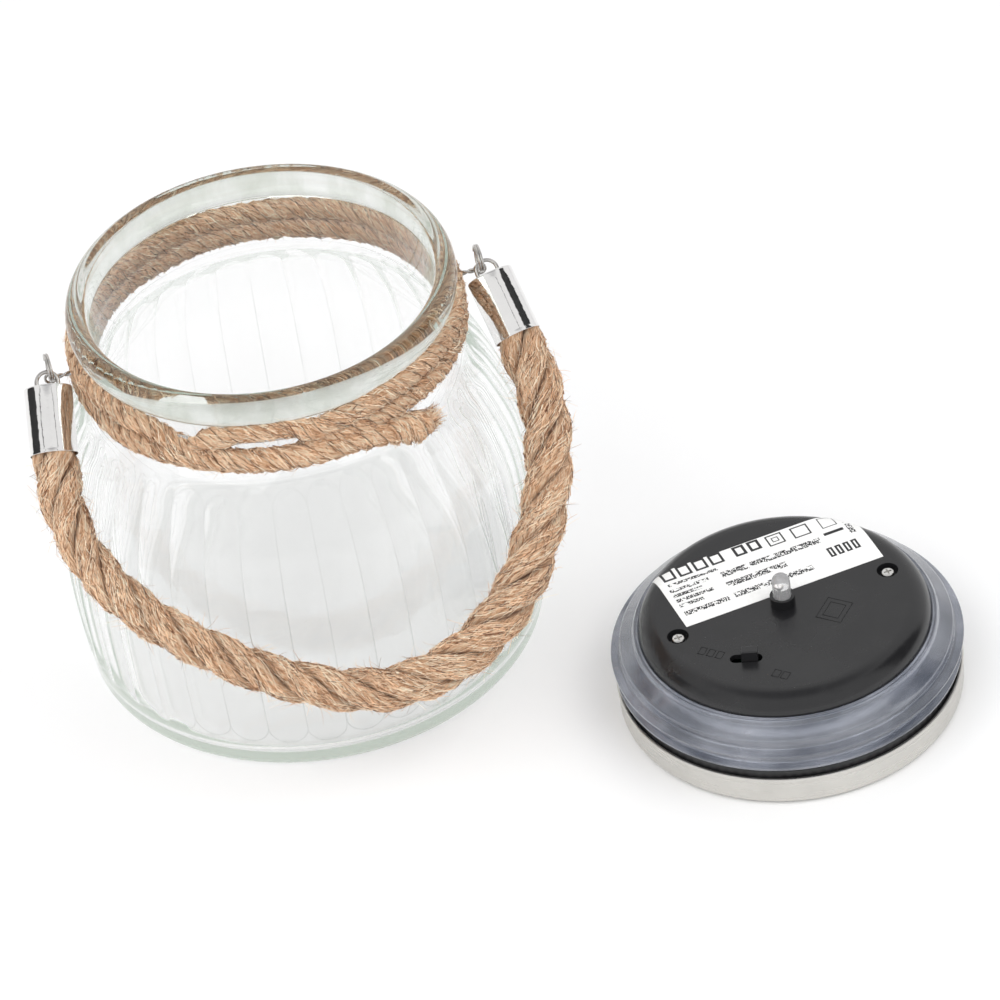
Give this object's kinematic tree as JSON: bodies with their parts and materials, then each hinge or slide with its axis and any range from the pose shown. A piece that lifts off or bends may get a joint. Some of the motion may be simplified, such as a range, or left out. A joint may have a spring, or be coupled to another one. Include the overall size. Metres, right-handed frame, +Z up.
{
  "type": "mason jar lantern",
  "caption": "Fluted glass jar lantern with a jute rope handle on wire rings, and its solar-lit steel lid lifted off and laid upside down beside it.",
  "frame": {"origin": "centre of the jar's base, on the surface that the jar and the lid stand on", "axes": "+Z up along the jar's axis, X along the pivot axis of the rope handle, and the handle hangs over the front of the jar towards -Y; the lid lies towards +X and -Y"},
  "size_m": [0.2346, 0.1943, 0.12],
  "materials": {
    "glass": "clear soda glass, fluted outside",
    "jute": "twisted natural jute",
    "chrome": "polished plating",
    "steel_wire": "bright drawn wire",
    "lid_steel": "satin pressed steel",
    "liner_plastic": "black moulded, ribbed edge",
    "seal": "translucent soft seal",
    "window": "clear smoked window",
    "solar_cell": "dark blue cell under resin",
    "housing_plastic": "black moulded, satin gloss",
    "screw_steel": "nickel-plated screw",
    "label_paper": "white printed label",
    "board": "green solder mask",
    "component_black": "moulded electronic parts",
    "led_clear": "clear epoxy",
    "cell_sleeve": "shrink sleeve on a steel can",
    "contact_metal": "plated spring strip",
    "lead_insulation": "wire insulation"
  },
  "bodies": {
    "jar": {"glass_jar": "glass", "neck_wire": "steel_wire", "neck_cord": "jute"},
    "handle": {"handle_rope": "jute", "ferrule_left": "chrome", "ferrule_right": "chrome", "ferrule_eye_left": "steel_wire", "ferrule_eye_right": "steel_wire", "handle_ring_left": "steel_wire", "handle_ring_right": "steel_wire"},
    "lid": {"lid_cap": "lid_steel", "solar_window": "window", "solar_panel": "solar_cell", "liner_ring": "liner_plastic", "seal_ring": "seal", "panel_tray": "liner_plastic", "base_cover": "housing_plastic", "cover_screws": "screw_steel", "label": "label_paper", "circuit_board": "board", "board_parts": "component_black", "switch_body": "component_black", "led": "led_clear", "battery_holder": "component_black", "battery": "cell_sleeve", "battery_contacts": "contact_metal", "battery_leads": "lead_insulation", "panel_leads": "lead_insulation"},
    "switch": {"switch_knob": "housing_plastic"}
  },
  "joints": [
    {"name": "handle_swing", "type": "hinge", "parent": "jar", "child": "handle", "pos_m": [0, 0, 0.108], "axis": [-1, 0, 0], "range_deg": [0, 264]},
    {"name": "lid_lift", "type": "slide", "parent": "jar", "child": "lid", "axis": [0, 0, 1], "range_m": [0, 0.15]},
    {"name": "switch_slide", "type": "slide", "parent": "lid", "child": "switch", "axis": [-0.9563, 0.2924, 0], "range_m": [0, 0.002]}
  ]
}
